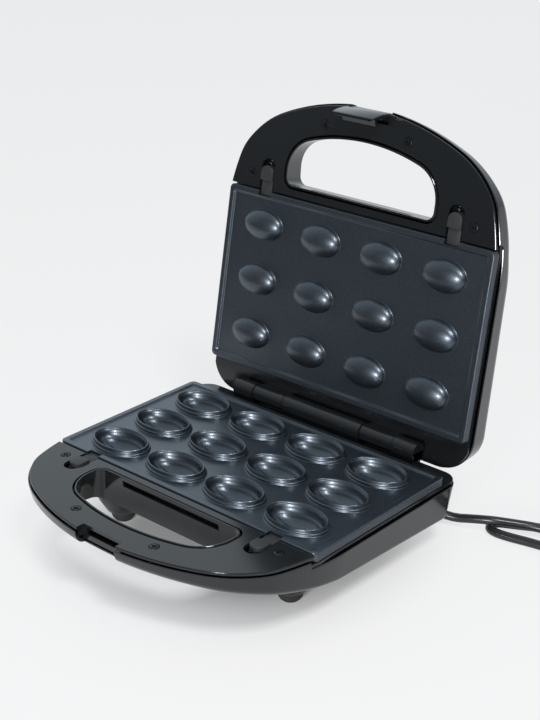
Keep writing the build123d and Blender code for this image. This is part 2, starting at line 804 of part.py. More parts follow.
def least_gap(pieces, radius, apart):
    """Least gap between two spots of a tube that lie more than a length apart on it."""
    places = []
    run = 0.0
    for piece in pieces:
        steps = math.ceil(piece.length / 1.5)
        places += [(run + piece.length * k / steps, piece @ (k / steps)) for k in range(steps)]
        run += piece.length
    reaches = [
        (places[j][1] - places[i][1]).length
        for i in range(len(places)) for j in range(i + 1, len(places))
        if places[j][0] - places[i][0] > apart]
    return min(reaches) - 2 * radius


pieces = wound_path()
wound = Wire([piece.edge() for piece in pieces])
coil = sweep(Plane(origin=route[-1], z_dir=heading) * Circle(cord_radius), path=wound)
length = sum(piece.length for piece in pieces)
print("coil length", round(length, 1), "volume over section and length", coil.volume / section / length)
print("coil least gap to itself", round(least_gap(pieces, cord_radius, 8 * cord_radius), 2))
save(coil, "cord_coil")

# Tie round the two half turns that lie one above the other.

lower_turn, upper_turn = pieces[2], pieces[4]
outward = unit(lower_turn @ 0.5 - (lower_turn @ 0 + lower_turn @ 1) / 2)
turn_radius = coil_radius - coil_pitch / 2
sag = turn_radius - math.sqrt(turn_radius ** 2 - ((coil_pitch + tie_width) / 2) ** 2)
spot = (lower_turn @ 0.5 + upper_turn @ 0.5) / 2 - outward * (sag / 2)
tie_height = coil_climb + 2 * cord_radius
tie_frame = Plane(origin=(spot.X, spot.Y, coil_lay + coil_climb / 2), x_dir=outward, z_dir=outward.cross(Vector(0, 0, 1)))
tie_inner = 2 * (cord_radius + tie_ease)
tie_face = RectangleRounded(tie_inner + 2 * tie_sheet, tie_height + 2 * tie_sheet, cord_radius + tie_sheet)
tie_face -= RectangleRounded(tie_inner, tie_height, cord_radius - 0.05)
save(extrude(tie_frame * tie_face, amount=tie_width / 2, both=True), "cord_tie")

# Plug on the end of the wound part.

tail = pieces[-1]
plug_way = unit(tail @ 1 - tail @ 0)
plug_frame = Plane(origin=tail @ 1, x_dir=Vector(-plug_way.Y, plug_way.X, 0), z_dir=plug_way)
plug_half = (tail @ 1).Z
grip = loft([
    (plug_frame * Circle(cord_radius + 1.8)).face(),
    (plug_frame.offset(plug_neck) * RectangleRounded(15, 13, 4)).face()])
body = extrude(plug_frame.offset(plug_neck) * RectangleRounded(plug_width, 2 * plug_half, 5), amount=plug_length)
save(grip + body, "plug_body")
blades = []
for x in (-blade_spacing / 2, blade_spacing / 2):
    frame = plug_frame.offset(plug_neck + plug_length) * Pos(x, 0)
    blades.append(extrude(frame * Rectangle(1.5, 6.3), amount=blade_length))
save(Compound(children=blades), "plug_blades")

# Strain relief, let into the back wall.

gland_frame = Plane(origin=cord_start, z_dir=exit_way)
gland_length = gland_inside + gland_outside
sleeve = loft([
    (gland_frame * Circle(gland_wide)).face(),
    (gland_frame.offset(gland_length) * Circle(gland_narrow)).face()])
base -= sleeve
bore = extrude(gland_frame * Circle(cord_radius), amount=gland_length)
save(sleeve - bore, "cord_gland")


# Everything that comes in pairs, base first and then lid.

save(deck(base_rear_y, base_rear_radius, catch_face_y, base_webs), "base_deck")
save(lid_of(deck(lid_rear_y, lid_rear_radius, clip_face_y, lid_webs)), "lid_deck")
save(heating_element(), "lower_heating_element")
save(lid_of(heating_element()), "upper_heating_element")
save(reflector(), "lower_reflector")
save(lid_of(reflector()), "upper_reflector")
save(brackets(), "lower_element_brackets")
save(lid_of(brackets()), "upper_element_brackets")
save(thermostat(), "lower_thermostat")
save(lid_of(thermostat()), "upper_thermostat")
save(pan_screws(), "base_reflector_screws")
save(lid_of(pan_screws()), "lid_reflector_screws")
save(deck_screws(), "base_deck_screws")
save(lid_of(deck_screws()), "lid_deck_screws")
save(both_sides(spring), "lower_latch_springs")
save(lid_of(both_sides(spring)), "upper_latch_springs")
for side, x in (("left", -latch_x), ("right", latch_x)):
    save(latch(x), "lower_latch_" + side)
    save(lid_of(latch(x)), "upper_latch_" + side)
save(lid_of(clip()), "lid_clip")
save(lid_of(clip_pin), "clip_pin")
save(base, "base_shell")
save(lid_of(lid), "lid_shell")
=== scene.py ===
import math

import bmesh
import bpy
from mathutils import Matrix, Vector


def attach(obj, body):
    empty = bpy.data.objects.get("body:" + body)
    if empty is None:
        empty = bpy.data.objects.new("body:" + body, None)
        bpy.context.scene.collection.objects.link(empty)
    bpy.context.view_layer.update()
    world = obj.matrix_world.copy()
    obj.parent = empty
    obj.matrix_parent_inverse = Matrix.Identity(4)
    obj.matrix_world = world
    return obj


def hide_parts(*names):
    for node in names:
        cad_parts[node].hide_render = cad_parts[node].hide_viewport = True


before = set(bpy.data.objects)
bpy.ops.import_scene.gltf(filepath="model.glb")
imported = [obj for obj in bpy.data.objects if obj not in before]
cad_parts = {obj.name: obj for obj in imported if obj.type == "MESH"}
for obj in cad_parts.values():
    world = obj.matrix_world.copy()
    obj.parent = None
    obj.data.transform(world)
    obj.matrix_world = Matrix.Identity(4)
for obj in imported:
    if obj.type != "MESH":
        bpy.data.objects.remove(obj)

bl_info = {
    "name": "Cup snack maker",
    "version": (1, 0, 0),
    "blender": (4, 5, 0),
    "location": "3D View > Sidebar > Snack maker",
    "description": "Builds the looks of a snack maker with a cup plate on its packed frame",
    "category": "Object",
}

# Pieces are modelled in millimetres in the frame of the part and scaled to
# metres when they become objects. A drop is a depth below the lower plate's
# border. The lid is modelled as if it lay in the base, then turned over and
# swung open, as the frame's lid stands.

MM = 0.001
PLATE_LEVEL = 57.0
PLATE_GAP = 2.4
HINGE_Y = 80.2
HINGE_Z = 57.8
OPEN_ANGLE = math.radians(100.9)

PLATE_X = 230.0
PLATE_Y = 130.2
FIELD_DROP = 1.3

FRONT_Y = -137.0
SIDE_X = 117.0
OVERHANG = 1.5
DRAFT = math.tan(math.radians(9.5))
STEP_Y = -68.3

SCREWS = [(-96.0, -76.5), (-35.3, -120.6), (35.3, -120.6), (96.0, -76.5)]
LATCH_X = 81.5
LATCH_END_Y = -84.2
BASE_DEPTH = 34.5
LID_DEPTH = 33.5
BASE_CATCH_Y = -130.0
LID_CATCH_Y = -129.0
NOTCH_X = 17.5
CLIP_X = 17.2
CLIP_PIN_Y = -132.6
CLIP_PIN_DROP = 7.0
NOSE_X = 14.0
CORD_RADIUS = 3.1

BROAD_FACE = 0.00012


def level(drop):
    return PLATE_LEVEL - drop


# Outlines made of arcs that all turn the same way, so that an offset only
# changes the radii.

class Outline:
    """Right half of a closed outline that is the same on both sides, straight at
    the back. Each arc is (centre x, centre y, radius, first heading, last
    heading, steps)."""

    def __init__(self, arcs):
        self.arcs = arcs

    def points(self, grow=0.0):
        half = []
        for cx, cy, radius, first, last, steps in self.arcs:
            for step in range(steps + 1):
                angle = math.radians(first + (last - first) * step / steps)
                reach = radius + grow
                half.append((cx + reach * math.sin(angle), cy - reach * math.cos(angle)))
        half.append((0.0, half[-1][1]))
        return half + [(-x, y) for x, y in reversed(half[1:-1])]


def housing_outline(rear_y, rear_radius):
    arcs = []
    x, y, heading = 0.0, FRONT_Y, 0.0
    for radius, turn, steps in ((188.0, 24.0, 24), (68.6, 29.8, 14), (38.0, 18.2, 10)):
        a, b = math.radians(heading), math.radians(heading + turn)
        cx, cy = x - radius * math.sin(a), y + radius * math.cos(a)
        arcs.append((cx, cy, radius, heading, heading + turn, steps))
        x, y = cx + radius * math.sin(b), cy - radius * math.cos(b)
        heading += turn
    lean = math.radians(90 - heading)
    flank = (SIDE_X - x) / (1 - math.cos(lean))
    cx, cy = SIDE_X - flank, y + flank * math.sin(lean)
    arcs.append((cx, cy, flank, heading, 90.0, 40))
    arcs.append((SIDE_X - rear_radius, rear_y - rear_radius, rear_radius, 90.0, 180.0, 14))
    return Outline(arcs)


def handle_outline(flare_far, flare_side):
    """The handle's opening: arched in front, straight at the back."""
    far = -74.0 + flare_far
    half = 63.2 + flare_side
    near_radius = 160.0 + flare_side / 6
    near_y = -114.2 - flare_side / 6
    corner = 24.0
    back = 6.0
    centre_y = near_y + near_radius
    corner_x = half - corner
    corner_y = centre_y - math.sqrt((near_radius - corner) ** 2 - corner_x ** 2)
    swing = math.degrees(math.atan2(corner_x, centre_y - corner_y))
    return Outline([
        (0.0, centre_y, near_radius, 0.0, swing, 24),
        (corner_x, corner_y, corner, swing, 90.0, 12),
        (half - back, far - back, back, 90.0, 180.0, 8)])


BASE_PLAN = housing_outline(81.2, 13.0)
LID_PLAN = housing_outline(88.2, 24.0)
HANDLE_TOP = handle_outline(0.0, 0.0)
HANDLE_LOW = handle_outline(4.0, 12.0)


def rounded_rectangle(width, depth, radius, steps=6, cx=0.0, cy=0.0):
    """Closed outline, counter-clockwise, that starts at the right front."""
    points = []
    corners = ((1, -1, 270), (1, 1, 0), (-1, 1, 90), (-1, -1, 180))
    for sx, sy, start in corners:
        for step in range(steps + 1):
            angle = math.radians(start + 90 * step / steps)
            points.append((
                cx + sx * (width / 2 - radius) + radius * math.cos(angle),
                cy + sy * (depth / 2 - radius) + radius * math.sin(angle)))
    return points


# Mesh tools.

def loft(bm, sections, first="cap", last="cap"):
    """Skin over closed sections of the same count. An end is capped or left
    open, or the skin returns to the first section where first is "join"."""
    count = len(sections[0])
    made = bmesh.ops.create_circle(bm, cap_ends=False, segments=count, radius=1)
    ring = sorted(made["verts"], key=lambda vert: math.atan2(vert.co.y, vert.co.x))
    for vert, place in zip(ring, sections[0]):
        vert.co = place
    edges = [bm.edges.get((ring[k], ring[(k + 1) % count])) for k in range(count)]
    first_edges = edges
    if first == "join":
        sections = sections + [sections[0]]
    for section in sections[1:]:
        spread = bmesh.ops.extrude_edge_only(bm, edges=edges)
        fresh = {item for item in spread["geom"] if isinstance(item, bmesh.types.BMVert)}
        following = []
        for vert, place in zip(ring, section):
            twin = next(e.other_vert(vert) for e in vert.link_edges if e.other_vert(vert) in fresh)
            following.append(twin)
        for vert, place in zip(following, section):
            vert.co = place
        ring = following
        edges = [bm.edges.get((ring[k], ring[(k + 1) % count])) for k in range(count)]
    if first == "join":
        bmesh.ops.remove_doubles(bm, verts=bm.verts, dist=1e-4)
        return bm
    if first == "cap":
        bmesh.ops.edgeloop_fill(bm, edges=first_edges)
    if last == "cap":
        bmesh.ops.edgeloop_fill(bm, edges=edges)
    return bm


def flat(points, drop):
    return [Vector((x, y, level(drop))) for x, y in points]


def add_box(bm, x_range, y_range, drops):
    x0, x1 = x_range
    y0, y1 = y_range
    z1, z0 = level(drops[0]), level(drops[1])
    place = Matrix.Translation(((x0 + x1) / 2, (y0 + y1) / 2, (z0 + z1) / 2))
    size = Matrix.Diagonal((x1 - x0, y1 - y0, z1 - z0, 1))
    return bmesh.ops.create_cube(bm, size=1, matrix=place @ size)["verts"]


def add_rod(bm, start, end, radius, segments=48, end_radius=None):
    """Round bar between two points."""
    start, end = Vector(start), Vector(end)
    way = end - start
    turn = way.to_track_quat("Z", "Y").to_matrix().to_4x4()
    place = Matrix.Translation((start + end) / 2) @ turn
    bmesh.ops.create_cone(
        bm, cap_ends=True, cap_tris=False, segments=segments, radius1=radius,
        radius2=radius if end_radius is None else end_radius, depth=way.length, matrix=place)
    return bm


def outward(bm):
    bmesh.ops.remove_doubles(bm, verts=bm.verts, dist=1e-4)
    bmesh.ops.recalc_face_normals(bm, faces=bm.faces)
    if bm.calc_volume(signed=True) < 0:
        bmesh.ops.reverse_faces(bm, faces=bm.faces)
    return bm


def boolean(bm, other, kind="DIFFERENCE"):
    """Cut or join two closed shapes and give back the result."""
    objects = []
    for shape in (bm, other):
        outward(shape)
        mesh = bpy.data.meshes.new("cut")
        shape.to_mesh(mesh)
        shape.free()
        piece = bpy.data.objects.new("cut", mesh)
        bpy.context.scene.collection.objects.link(piece)
        objects.append(piece)
    target, tool = objects
    modifier = target.modifiers.new("cut", "BOOLEAN")
    modifier.operation = kind
    modifier.solver = "EXACT"
    modifier.object = tool
    graph = bpy.context.evaluated_depsgraph_get()
    result = bmesh.new()
    result.from_mesh(target.evaluated_get(graph).to_mesh())
    for piece in objects:
        mesh = piece.data
        bpy.data.objects.remove(piece)
        bpy.data.meshes.remove(mesh)
    if not result.faces:
        raise RuntimeError("a cut left nothing")
    return result


def soften(bm, width, segments=2, sharper_than=35.0):
    """Round the edges that are sharper than an angle."""
    limit = math.radians(sharper_than)
    edges = [e for e in bm.edges if len(e.link_faces) == 2 and e.calc_face_angle(0) > limit]
    bmesh.ops.bevel(
        bm, geom=edges, offset=width, offset_type="OFFSET", segments=segments, profile=0.5,
        affect="EDGES", clamp_overlap=True, material=-1)
    return bm


def join_in(bm, *others):
    """Add closed shapes to a shape, as they are."""
    for other in others:
        outward(other)
        mesh = bpy.data.meshes.new("part")
        other.to_mesh(mesh)
        other.free()
        bm.from_mesh(mesh)
        bpy.data.meshes.remove(mesh)
    return bm


def swing_open(bm):
    """Turn a shape over onto the lid's side and swing it open."""
    middle = PLATE_LEVEL + PLATE_GAP / 2
    to_middle = Matrix.Translation((0, 0, middle))
    flip = to_middle @ Matrix.Diagonal((1, 1, -1, 1)) @ Matrix.Translation((0, 0, -middle))
    to_axis = Matrix.Translation((0, HINGE_Y, HINGE_Z))
    swing = to_axis @ Matrix.Rotation(-OPEN_ANGLE, 4, "X") @ to_axis.inverted()
    bmesh.ops.transform(bm, matrix=swing @ flip, verts=bm.verts)
    return bm


def finish_piece(bm, name, body, nodes, material, in_lid=False, smooth=24.0):
    """Make an object of a shape, in metres, riding on its body."""
    if in_lid:
        swing_open(bm)
    bmesh.ops.transform(bm, matrix=Matrix.Scale(MM, 4), verts=bm.verts)
    bmesh.ops.remove_doubles(bm, verts=bm.verts, dist=1e-7)
    bmesh.ops.recalc_face_normals(bm, faces=bm.faces)
    mesh = bpy.data.meshes.new(name)
    bm.to_mesh(mesh)
    bm.free()
    mesh.shade_smooth()
    mesh.set_sharp_from_angle(angle=math.radians(smooth))
    for face in mesh.polygons:
        face.use_smooth = face.area < BROAD_FACE
    mesh.materials.append(material)
    piece = bpy.data.objects.new(name, mesh)
    bpy.context.scene.collection.objects.link(piece)
    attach(piece, body)
    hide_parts(*nodes)
    return piece


# Materials.

class Value:
    """A socket of a node tree that can be reckoned with."""

    def __init__(self, tree, socket):
        self.tree = tree
        self.socket = socket

    def math(self, kind, other=None, swap=False, clamp=False):
        node = self.tree.nodes.new("ShaderNodeMath")
        node.operation = kind
        node.use_clamp = clamp
        first, second = (1, 0) if swap else (0, 1)
        self.tree.links.new(self.socket, node.inputs[first])
        if isinstance(other, Value):
            self.tree.links.new(other.socket, node.inputs[second])
        elif other is not None:
            node.inputs[second].default_value = other
        return Value(self.tree, node.outputs[0])

    def __add__(self, other):
        return self.math("ADD", other)

    __radd__ = __add__

    def __mul__(self, other):
        return self.math("MULTIPLY", other)

    __rmul__ = __mul__

    def __sub__(self, other):
        return self.math("SUBTRACT", other)

    def __rsub__(self, other):
        return self.math("SUBTRACT", other, swap=True)


class Surface:
    """A material around one principled shader."""

    def __init__(self, name, colour, roughness, metallic=0.0, coat=0.0, coat_roughness=0.05, ior=1.5):
        self.material = bpy.data.materials.new(name)
        self.material.use_nodes = True
        self.tree = self.material.node_tree
        self.shader = self.tree.nodes["Principled BSDF"]
        self.set("Base Color", (*colour, 1.0))
        self.set("Roughness", roughness)
        self.set("Metallic", metallic)
        self.set("Coat Weight", coat)
        self.set("Coat Roughness", coat_roughness)
        self.set("IOR", ior)
        self.place = None

    def node(self, kind, links=(), **settings):
        made = self.tree.nodes.new(kind)
        for key, value in settings.items():
            if key in made.inputs:
                made.inputs[key].default_value = value
            else:
                setattr(made, key, value)
        for key, value in links:
            self.tree.links.new(value.socket if isinstance(value, Value) else value, made.inputs[key])
        return made

    def set(self, name, value):
        if isinstance(value, Value):
            self.tree.links.new(value.socket, self.shader.inputs[name])
        else:
            self.shader.inputs[name].default_value = value

    def noise(self, scale, detail=2.0, roughness=0.5):
        if self.place is None:
            self.place = self.node("ShaderNodeTexCoord").outputs["Object"]
        made = self.node(
            "ShaderNodeTexNoise", [("Vector", self.place)], Scale=scale, Detail=detail, Roughness=roughness)
        return Value(self.tree, made.outputs["Fac"])

    def blend_colour(self, share, dark, light):
        made = self.node("ShaderNodeMix", data_type="RGBA")
        made.inputs["Factor"].default_value = 0.5
        self.tree.links.new(share.socket, made.inputs["Factor"])
        made.inputs[6].default_value = (*dark, 1.0)
        made.inputs[7].default_value = (*light, 1.0)
        self.tree.links.new(made.outputs[2], self.shader.inputs["Base Color"])

    def bump(self, height, strength, distance):
        made = self.node("ShaderNodeBump", [("Height", height)], Strength=strength, Distance=distance)
        self.tree.links.new(made.outputs["Normal"], self.shader.inputs["Normal"])


def gloss_black():
    surface = Surface("gloss_black", (0.008, 0.009, 0.010), 0.15)
    surface.set("Roughness", surface.noise(60.0) * 0.05 + 0.11)
    return surface.material


def deck_black():
    surface = Surface("deck_black", (0.008, 0.009, 0.010), 0.15)
    surface.set("Roughness", surface.noise(80.0) * 0.05 + 0.12)
    return surface.material


def matte_black():
    surface = Surface("matte_black", (0.018, 0.019, 0.021), 0.5)
    surface.bump(surface.noise(1500.0), 0.2, 0.0002)
    return surface.material


def nonstick():
    surface = Surface("nonstick", (0.09, 0.1, 0.12), 0.4, metallic=0.95, coat=0.4, coat_roughness=0.2)
    grain = surface.noise(1800.0, detail=3.0)
    surface.blend_colour(grain.math("MULTIPLY", 1.0, clamp=True), (0.022, 0.029, 0.038), (0.13, 0.155, 0.185))
    surface.set("Roughness", surface.noise(900.0) * 0.10 + 0.35)
    surface.bump(grain, 0.15, 0.0002)
    return surface.material


def plain(name, colour, roughness, metallic=0.0, scale=400.0, spread=0.1):
    """Even colour whose roughness varies a little."""
    surface = Surface(name, colour, roughness, metallic=metallic)
    surface.set("Roughness", surface.noise(scale) * spread + (roughness - spread / 2))
    return surface.material


def dark_steel():
    return plain("dark_steel", (0.035, 0.035, 0.038), 0.32, metallic=0.9)


def steel():
    return plain("steel", (0.55, 0.55, 0.56), 0.3, metallic=1.0)


def bright_sheet():
    return plain("bright_sheet", (0.74, 0.74, 0.75), 0.28, metallic=1.0, scale=120.0)


def sensor():
    return plain("sensor", (0.58, 0.58, 0.6), 0.35, metallic=1.0)


def white_plastic():
    return plain("white_plastic", (0.78, 0.77, 0.73), 0.5)


def red_lens():
    return plain("red_lens", (0.42, 0.02, 0.012), 0.15, spread=0.05)


def green_lens():
    return plain("green_lens", (0.02, 0.30, 0.05), 0.15, spread=0.05)


def brass():
    return plain("brass", (0.72, 0.58, 0.28), 0.28, metallic=1.0)


def cord_black():
    return plain("cord_black", (0.012, 0.013, 0.014), 0.32, scale=200.0, spread=0.08)


def foot_rubber():
    surface = Surface("foot_rubber", (0.02, 0.02, 0.022), 0.7)
    surface.bump(surface.noise(900.0), 0.2, 0.0002)
    return surface.material


MATERIALS = {}


def material(maker):
    """Each material is made once."""
    if maker.__name__ not in MATERIALS:
        MATERIALS[maker.__name__] = maker()
    return MATERIALS[maker.__name__]


# Housing halves.

BOTTOM_Y = [-150.0, -105.0, -65.0, -16.0, 95.0]


def bottom_drop(y, depth):
    """Underside of a housing half, as a smooth curve through a few depths."""
    drops = [11.5, 18.7, 26.6, 0.97 * depth, 1.05 * depth]
    y = max(min(y, BOTTOM_Y[-1]), BOTTOM_Y[0])
    k = max(i for i in range(4) if BOTTOM_Y[i] <= y)
    slopes = []
    for i in range(5):
        a, b = max(i - 1, 0), min(i + 1, 4)
        slopes.append((drops[b] - drops[a]) / (BOTTOM_Y[b] - BOTTOM_Y[a]))
    span = BOTTOM_Y[k + 1] - BOTTOM_Y[k]
    t = (y - BOTTOM_Y[k]) / span
    start = (2 * t ** 3 - 3 * t ** 2 + 1) * drops[k] + (t ** 3 - 2 * t ** 2 + t) * span * slopes[k]
    end = (3 * t ** 2 - 2 * t ** 3) * drops[k + 1] + (t ** 3 - t ** 2) * span * slopes[k + 1]
    return start + end


def wall_grow(drop):
    return OVERHANG - (drop - 3.0) * DRAFT


def step_drop(y, front, side, width=1.6):
    """Height of a rim that steps down behind the handle."""
    share = min(max((y - STEP_Y) / width + 0.5, 0.0), 1.0)
    return front + (side - front) * (3 * share ** 2 - 2 * share ** 3)


def shell_skin(plan, depth, edge_round, front_round, wall=2.4):
    """Hollow body of a half: inside floor and wall, ledge and lip for the deck's
    edge, drafted outside wall, rounded lower edge and underside."""
    base = plan.points()
    normal = [Vector((b[0] - a[0], b[1] - a[1])).normalized() for a, b in zip(base, plan.points(1.0))]
    centre = Vector((0.0, -20.0))

    def ring(grow_of, drop_of):
        section = []
        for (x, y), way in zip(base, normal):
            drop = drop_of(y)
            grow = grow_of(y, drop)
            section.append(Vector((x + way.x * grow, y + way.y * grow, level(drop))))
        return section

    def floor_of(y):
        return bottom_drop(y, depth)

    def round_of(y):
        share = min(max((y + 100.0) / 40.0, 0.0), 1.0)
        return front_round + (edge_round - front_round) * share

    def shrunk(rim, share, lift):
        section = []
        for place in rim:
            spot = centre + (Vector((place.x, place.y)) - centre) * share
            section.append(Vector((spot.x, spot.y, level(floor_of(spot.y) - lift))))
        return section

    def lower_edge(inset, lift, angle):
        def drop_of(y):
            return floor_of(y) - lift - (round_of(y) - lift) * (1 - math.sin(angle))

        def grow_of(y, drop):
            return wall_grow(drop) - inset - (round_of(y) - lift) * (1 - math.cos(angle))
        return ring(grow_of, drop_of)

    def step(front, side):
        return lambda y: step_drop(y, front, side)

    turns = [math.radians(82.0) * k / 7 for k in range(8)]
    inner = [lower_edge(wall, wall, angle) for angle in reversed(turns)]
    sections = [shrunk(inner[0], share, wall) for share in (0.05, 0.3, 0.6, 0.85)] + inner
    sections.append(ring(lambda y, drop: wall_grow(drop) - wall, step(7.2, 12.2)))
    sections.append(ring(lambda y, drop: -wall, step(7.0, 12.0)))
    sections.append(ring(lambda y, drop: step_drop(y, 0.35, -0.6), step(7.0, 12.0)))
    sections.append(ring(lambda y, drop: step_drop(y, 0.35, -0.6), step(4.1, 9.3)))
    sections.append(ring(lambda y, drop: step_drop(y, 0.6, -0.35), step(3.8, 9.0)))
    sections.append(ring(lambda y, drop: wall_grow(drop) - 0.45, step(3.8, 9.0)))
    sections.append(ring(lambda y, drop: wall_grow(drop) - 0.1, step(3.95, 9.15)))
    for share in (0.0, 0.12, 0.35, 0.6, 0.85):
        def wall_drop(y, share=share):
            top = step_drop(y, 4.3, 9.5)
            return top + (floor_of(y) - round_of(y) - top) * share
        sections.append(ring(lambda y, drop: wall_grow(drop), wall_drop))
    outer = [lower_edge(0.0, 0.0, angle) for angle in turns]
    sections += outer + [shrunk(outer[-1], share, 0.0) for share in (0.96, 0.85, 0.6, 0.3, 0.05)]
    return loft(bmesh.new(), sections)


def handle_tool(grow, top, bottom):
    """Solid that fills the handle's opening."""
    bm = bmesh.new()
    ends = []
    for drop in (top, bottom):
        share = (drop + 1.0) / 41.0
        upper, lower = HANDLE_TOP.points(grow), HANDLE_LOW.points(grow)
        ends.append([
            Vector((a[0] + (b[0] - a[0]) * share, a[1] + (b[1] - a[1]) * share, level(drop)))
            for a, b in zip(upper, lower)])
    return loft(bm, ends)


def handle_tube(depth):
    """Wall round the handle's opening, with a thin lip above the deck."""
    def section(grow, drop_of):
        upper, lower = HANDLE_TOP.points(grow), HANDLE_LOW.points(grow)
        result = []
        for a, b in zip(upper, lower):
            drop = drop_of(a[1])
            share = (drop + 1.0) / 41.0
            y = a[1] + (b[1] - a[1]) * share
            result.append(Vector((a[0] + (b[0] - a[0]) * share, y, level(drop))))
        return result
    bm = bmesh.new()
    low = lambda y: bottom_drop(y + 2, depth) + 0.2
    sections = [
        section(0.0, low), section(0.0, lambda y: 8.0), section(0.0, lambda y: 0.9),
        section(0.25, lambda y: 0.6), section(1.2, lambda y: 0.6), section(1.4, lambda y: 0.9),
        section(1.9, lambda y: 8.0), section(1.9, low)]
    return loft(bm, sections, first="join")


def web_shape(bm, face, x_range, rise, radius):
    """Arm and barrel of the hinge over a stretch of X."""
    x0, x1 = x_range
    ring = [Vector((x0, y, level(drop))) for y, drop in face]
    far = [Vector((x1, y, level(drop))) for y, drop in face]
    loft(bm, [ring, far])
    add_rod(bm, (x0, HINGE_Y, PLATE_LEVEL + rise), (x1, HINGE_Y, PLATE_LEVEL + rise), radius)


def catch_walls(catch_y, slot):
    """Walls round the notch at the handle's middle, with the clip's slot."""
    walls = bmesh.new()
    top = 7.8 if slot else 3.0
    add_box(walls, (-15.0, 15.0), (catch_y, catch_y + 2.4), (top, 12.9))
    for side in (-1, 1):
        x0, x1 = sorted((side * 15.0, side * 19.9))
        add_box(walls, (x0, x1), (catch_y, catch_y + 2.4), (3.0, 12.9))
        x0, x1 = sorted((side * 17.5, side * 19.9))
        add_box(walls, (x0, x1), (-133.8, catch_y), (3.0, 8.5))
    if not slot:
        add_box(walls, (-17.6, 17.6), (-133.5, catch_y + 1.2), (11.6, 12.7))
    return walls


def leg_shape(places):
    legs = bmesh.new()
    for x, y, radius in places:
        foot, top = PLATE_LEVEL - 9.5, 30.0
        rings = []
        slim = 0.3 * radius
        profile = ((-slim - 1.2, foot), (-slim - 0.4, foot - 0.1), (-slim, foot - 0.6), (0.0, foot - 10.0), (1.0, top))
        for grow, drop in profile:
            reach = radius + grow
            turns = [math.radians(7.5 * k) for k in range(48)]
            rings.append(flat([(x + reach * math.cos(a), y + reach * math.sin(a)) for a in turns], drop))
        loft(legs, rings)
    return legs


def housing(
        name, plan, depth, edge_round, front_round, catch_y, webs, web_face, rise, body, node, in_lid, legs=()):
    bm = shell_skin(plan, depth, edge_round, front_round)
    bm = boolean(bm, handle_tool(1.8, -2.0, 60.0))
    tool = bmesh.new()
    add_box(tool, (-NOTCH_X, NOTCH_X), (-150, catch_y), (-5, 60))
    bm = boolean(bm, tool)
    tool = bmesh.new()
    add_box(tool, (-43.5, 43.5), (-80, -69), (3.2, 7.8))
    tube = boolean(handle_tube(depth), tool)
    arms = bmesh.new()
    for span in webs:
        web_shape(arms, web_face, span, rise, 6.0 if in_lid else 6.5)
    join_in(bm, tube, catch_walls(catch_y, not in_lid), leg_shape(legs), arms)
    return finish_piece(bm, name, body, [node], material(gloss_black), in_lid)


def deck(name, plan, catch_y, body, node, in_lid):
    """Glossy top sheet with its step round the plate."""
    bm = bmesh.new()
    sections = [flat(plan.points(-0.1), 3.2), flat(plan.points(0.0), 2.9), flat(plan.points(0.0), 1.5),
                flat(plan.points(-0.15), 1.15), flat(plan.points(-0.5), 1.0)]
    loft(bm, sections)
    bmesh.ops.recalc_face_normals(bm, faces=bm.faces)
    tool = bmesh.new()
    add_box(tool, (-130, 130), (-66.3, 120), (-5, 20))
    bm = boolean(bm, tool)
    low = bmesh.new()
    loft(low, [flat(plan.points(-0.2), 8.5), flat(plan.points(-0.2), 6.5)])
    tool = bmesh.new()
    add_box(tool, (-130, 130), (-200, -68.3), (-5, 20))
    for side in (-1, 1):
        x0, x1 = sorted((side * 115.4, side * 140))
        add_box(tool, (x0, x1), (-100, 120), (-5, 20))
    low = boolean(low, tool)
    tool = bmesh.new()
    add_box(tool, (-106, 106), (-58, 58), (-5, 20))
    low = boolean(low, tool)
    bm = boolean(bm, handle_tool(2.8, -5.0, 12.0))
    tool = bmesh.new()
    add_box(tool, (-NOTCH_X, NOTCH_X), (-150, catch_y), (-5, 20))
    bm = boolean(bm, tool)
    for x in (-LATCH_X, LATCH_X):
        tool = bmesh.new()
        centre = LATCH_END_Y - 4.3 + 6.0
        points = [(x + 6.3, -60.0), (x - 6.3, -60.0)]
        for step in range(25):
            angle = math.radians(180 + 180 * step / 24)
            points.append((x + 6.3 * math.cos(angle), centre + 6.3 * math.sin(angle)))
        loft(tool, [flat(points, 12.0), flat(points, -5.0)])
        bm = boolean(bm, tool)
    for x, y in SCREWS:
        tool = bmesh.new()
        add_rod(tool, (x, y, level(2.2)), (x, y, level(-3.0)), 3.6)
        bm = boolean(bm, tool)
    for x in (-LATCH_X, LATCH_X):
        add_box(bm, (x - 8, x + 8), (-90.5, -66.3), (6.5, 8.5))
    for x, y in SCREWS:
        add_rod(bm, (x, y, level(3.1)), (x, y, level(2.0)), 4.2)
    join_in(bm, low)
    return finish_piece(bm, name, body, [node], material(deck_black), in_lid)


# Plates.

CELL_STEPS = 20


def cell_outline(x0, x1, y0, y1):
    """Rectangle with the same number of points on each side."""
    points = []
    corners = [(x1, y0), (x1, y1), (x0, y1), (x0, y0)]
    for k in range(4):
        ax, ay = corners[k]
        bx, by = corners[(k + 1) % 4]
        for step in range(CELL_STEPS):
            share = step / CELL_STEPS
            points.append((ax + (bx - ax) * share, ay + (by - ay) * share))
    return points


def ellipse(cx, cy, half_x, half_y):
    """Ellipse whose points stand against those of a cell."""
    points = []
    for k in range(4 * CELL_STEPS):
        angle = math.radians(-45 + 90 * k / CELL_STEPS)
        points.append((cx + half_x * math.cos(angle), cy + half_y * math.sin(angle)))
    return points


def cells():
    """Each cup's middle and the rectangle of field round it."""
    xs = [-109.9, -53.0, 0.0, 53.0, 109.9]
    ys = [-60.2, -20.95, 19.15, 60.2]
    for row in range(3):
        for column in range(4):
            cx = (column - 1.5) * 53.0
            cy = -0.9 + (row - 1) * 40.1
            yield cx, cy, (xs[column], xs[column + 1], ys[row], ys[row + 1])


